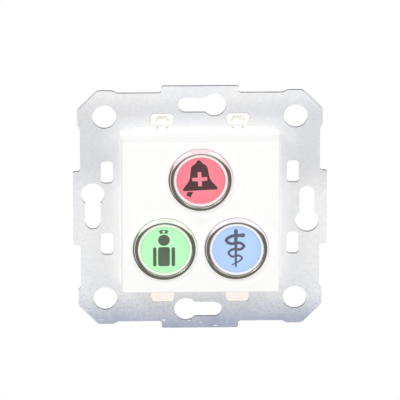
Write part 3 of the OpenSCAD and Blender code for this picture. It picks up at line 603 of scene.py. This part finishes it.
def plate_mesh(outlines, radius, thick):
    """A flat plate whose outlines are in shares of a radius. An outline inside another is a hole."""
    curve = bpy.data.curves.new("outline", "CURVE")
    curve.dimensions = "2D"
    curve.fill_mode = "BOTH"
    curve.extrude = thick * MM / 2
    for points in outlines:
        spline = curve.splines.new("POLY")
        spline.points.add(len(points) - 1)
        for p, (x, y) in zip(spline.points, points):
            p.co = (x * radius * MM, y * radius * MM, 0, 1)
        spline.use_cyclic_u = True
    holder = put("outline", curve)
    bpy.context.view_layer.update()
    plate = bpy.data.meshes.new_from_object(holder)
    bpy.data.objects.remove(holder)
    bpy.data.curves.remove(curve)
    return plate


def printed(colour_name, layers):
    """Thin printed plates on the legend, joined to one piece that rides on the button."""
    node = colour_name + "_legend"
    centre = at(*middle(node), front_level(node))
    whole = bmesh.new()
    for depth, outlines in enumerate(layers):
        thick = INK_T * (1 + THICKER_PER_LAYER * depth)
        plate = plate_mesh(outlines, half_width(node), thick)
        for v in plate.vertices:
            x, y, z = v.co
            v.co = centre + Vector((x, -(z + thick * MM / 2), y))
        whole.from_mesh(plate)
        bpy.data.meshes.remove(plate)
    mesh = bpy.data.meshes.new(colour_name + "_sign")
    bmesh.ops.recalc_face_normals(whole, faces=whole.faces)
    whole.to_mesh(mesh)
    whole.free()
    sign = put(colour_name + "_sign", mesh)
    ink = moulded("ink_" + colour_name, BUTTONS[colour_name]["ink"], 0.55, 0.003, 0.06)
    mesh.materials.append(ink.material)
    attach(sign, colour_name + "_button")


printed("red", bell())
printed("green", nurse())
printed("blue", rod_and_snake())

# Camera at the photograph's viewing angle. Its distance is in metres, and its aim in millimetres.

ELEVATION = math.radians(17.91)
AZIMUTH = math.radians(1.36)
DISTANCE = 1.445
AIM_UP, AIM_RIGHT = 1.851, 0.02
toward = Vector((-math.sin(AZIMUTH) * math.cos(ELEVATION), -math.cos(AZIMUTH) * math.cos(ELEVATION),
                 math.sin(ELEVATION)))
camera_up = Vector((math.sin(AZIMUTH) * math.sin(ELEVATION), math.cos(AZIMUTH) * math.sin(ELEVATION),
                    math.cos(ELEVATION)))
camera_right = Vector((math.cos(AZIMUTH), -math.sin(AZIMUTH), 0))
aim = camera_up * AIM_UP * MM + camera_right * AIM_RIGHT * MM
camera_data = bpy.data.cameras.new("camera")
camera_data.lens = 464.4
camera_data.sensor_width = 36
camera = put("camera", camera_data)
camera.location = aim + toward * DISTANCE
camera.rotation_euler = (-toward).to_track_quat("-Z", "Y").to_euler()
bpy.context.scene.camera = camera

# Floor, in metres. Its paper fades between two shares of the radius.

FLOOR_RADIUS = 0.5
FLOOR_LEVEL = -0.25
FLOOR_SIDES = 96
FADE_FROM, FADE_TO = 0.35, 0.85


def floor_paper():
    """Pale paper that the camera sees fade into the white background before the floor's rim."""
    paper = moulded("floor_paper", (0.92, 0.92, 0.915), 0.7, 0.02, 0.005)
    far = paper.vectors("LENGTH", paper.place(), out="Value")
    fade = paper.ramp(far, FLOOR_RADIUS / MM * FADE_FROM, FLOOR_RADIUS / MM * FADE_TO)
    share = paper.maths("MULTIPLY", fade, paper.ray("Camera"))
    background = paper.node("ShaderNodeEmission", Color=WHITE, Strength=1.0), 0
    paper.feed(paper.end, "Surface", paper.mix_shaders(share, (paper.shader, 0), background))
    return paper


def make_floor():
    angles = [2 * math.pi * i / FLOOR_SIDES for i in range(FLOOR_SIDES)]
    rim = [(FLOOR_RADIUS * math.cos(a), FLOOR_RADIUS * math.sin(a), 0) for a in angles]
    mesh = bpy.data.meshes.new("floor")
    mesh.from_pydata(rim, [], [tuple(range(FLOOR_SIDES))])
    mesh.materials.append(floor_paper().material)
    obj = put("floor", mesh)
    obj.location = (0, 0, FLOOR_LEVEL)


# Dark room, which only gloss sees. Its directions are in degrees: azimuth from the front to the right,
# and level above the horizon. A pair is where a soft edge begins and ends.

ROOM_RADIUS = 0.23
ROOM_STEP = 2
ROOM_TONE = (0.15, 0.148, 0.125)
DARK_FRONT = (-112, -100), (100, 112)
LEFT_WINDOW = (-60, -54), (-50, -44)
LEFT_SILL = (-45, -30)
RIGHT_WINDOW = (51, 59), (96, 104)
SKYLINE, SKYLINE_SOFT = -2, 5
RISE_RIGHT, RISE_LEFT, RISE_PAST_WINDOW = 8, 6, 14
NEAR_SIDE, PAST_WINDOW = (0, 35), (52, 64)
FRONT_LIGHT_WAYS = (-0.06, -0.89, -0.46), (0.07, -0.89, -0.46)
FRONT_LIGHT_EDGE = (1, 4)


def soft_step(value, low, high):
    share = min(max((value - low) / (high - low), 0.0), 1.0)
    return share * share * (3 - 2 * share)


def band(value, rise, fall):
    """One between two soft edges, and zero beyond them."""
    return soft_step(value, *rise) * (1 - soft_step(value, *fall))


def room_shade(azimuth, level):
    """How dark the room is in one direction: its front is dark below a skyline, but for two windows."""
    left = band(azimuth, *LEFT_WINDOW) * soft_step(level, *LEFT_SILL)
    right = band(azimuth, *RIGHT_WINDOW)
    skyline = (SKYLINE + RISE_RIGHT * soft_step(azimuth, *NEAR_SIDE)
               + RISE_LEFT * soft_step(-azimuth, *NEAR_SIDE)
               + RISE_PAST_WINDOW * soft_step(-azimuth, *PAST_WINDOW))
    above = soft_step(level, skyline - SKYLINE_SOFT, skyline + SKYLINE_SOFT)
    return band(azimuth, *DARK_FRONT) * (1 - max(left, right)) * (1 - above)


def room_material():
    """Clear where a point's shade is 0, and a dim glow where it is 1."""
    material = bpy.data.materials.new("dark_room")
    tree = Tree(material)
    shade = tree.node("ShaderNodeAttribute", {"attribute_name": "shade"}), "Fac"
    clear = tree.node("ShaderNodeBsdfTransparent"), 0
    dim = tree.node("ShaderNodeEmission", Color=ROOM_TONE), 0
    tree.node("ShaderNodeOutputMaterial", Surface=tree.mix_shaders(shade, clear, dim))
    return material


def make_dark_room():
    """The unlit parts of the room, with soft edges, and two small lights in its front."""
    azimuths, levels = range(-180, 181, ROOM_STEP), range(-90, 91, ROOM_STEP)
    lights = [Vector(way).normalized() for way in FRONT_LIGHT_WAYS]
    points, shades = [], []
    for level in levels:
        for azimuth in azimuths:
            a, e = math.radians(azimuth), math.radians(level)
            way = Vector((math.sin(a) * math.cos(e), -math.cos(a) * math.cos(e), math.sin(e)))
            shade = room_shade(azimuth, level)
            for light in lights:
                shade *= soft_step(math.degrees(way.angle(light)), *FRONT_LIGHT_EDGE)
            points.append(way * ROOM_RADIUS)
            shades.append(shade)
    row = len(azimuths)
    faces = [(i * row + j, i * row + j + 1, (i + 1) * row + j + 1, (i + 1) * row + j)
             for i in range(len(levels) - 1) for j in range(row - 1)]
    mesh = bpy.data.meshes.new("dark_room")
    mesh.from_pydata(points, [], faces)
    mesh.attributes.new("shade", "FLOAT", "POINT").data.foreach_set("value", shades)
    mesh.materials.append(room_material())
    obj = put("dark_room", mesh)
    obj.visible_camera = obj.visible_diffuse = obj.visible_shadow = False
    obj.visible_transmission = obj.visible_volume_scatter = False


# World and lamps, in metres and watts

EVEN_LIGHT = 0.80
BACKGROUND = 1.0
LAMP_ASIDE, LAMP_OUT, LAMP_UP = 0.52, 0.70, 0.58
LAMP_SIZE = 0.35
LEFT_POWER, RIGHT_POWER = 1.95, 1.7


def make_world():
    """Even white light, which camera, gloss and glass see as a brighter white background."""
    world = bpy.data.worlds.new("studio")
    bpy.context.scene.world = world
    tree = Tree(world)
    seen = tree.maths("MAXIMUM", tree.ray("Camera"), tree.ray("Glossy"))
    seen = tree.maths("MAXIMUM", seen, tree.ray("Transmission"))
    even = tree.node("ShaderNodeBackground", Color=WHITE, Strength=EVEN_LIGHT), 0
    white = tree.node("ShaderNodeBackground", Color=WHITE, Strength=BACKGROUND), 0
    tree.node("ShaderNodeOutputWorld", Surface=tree.mix_shaders(seen, even, white))


def make_lamp(name, x, power):
    place = Vector((x, -LAMP_OUT, LAMP_UP))
    data = bpy.data.lights.new(name, "AREA")
    data.shape = "SQUARE"
    data.size = LAMP_SIZE
    data.energy = power
    obj = put(name, data)
    obj.location = place
    obj.rotation_euler = (-place).to_track_quat("-Z", "Y").to_euler()


make_floor()
make_dark_room()
make_world()
make_lamp("left_lamp", -LAMP_ASIDE, LEFT_POWER)
make_lamp("right_lamp", LAMP_ASIDE, RIGHT_POWER)

bpy.context.scene.view_settings.view_transform = "Standard"
